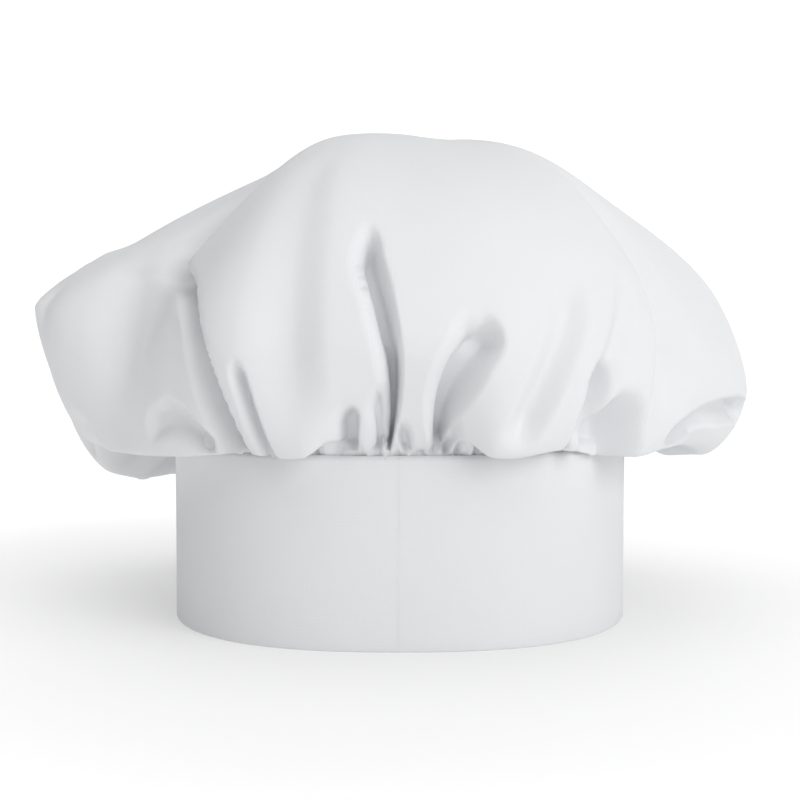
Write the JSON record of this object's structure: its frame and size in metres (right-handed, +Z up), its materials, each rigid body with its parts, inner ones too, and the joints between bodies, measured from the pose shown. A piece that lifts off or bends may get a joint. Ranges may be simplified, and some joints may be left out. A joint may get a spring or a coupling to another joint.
{
  "type": "chef hat",
  "caption": "Soft white cloth chef hat: a straight cylindrical headband with a full, puffy crown gathered into its top edge.",
  "frame": {"origin": "middle of the band's plan, on the plane of its lower edge, where the hat stands on a surface", "axes": "+Z up through the crown, -Y to the front of the hat, +X to the right as seen from the front"},
  "size_m": [0.304, 0.2573, 0.1923],
  "materials": {
    "band_cloth": "matt white cotton, two layers and firm",
    "crown_cloth": "matt white cotton, one soft layer"
  },
  "bodies": {
    "root": {"band": "band_cloth", "crown": "crown_cloth"}
  },
  "joints": []
}
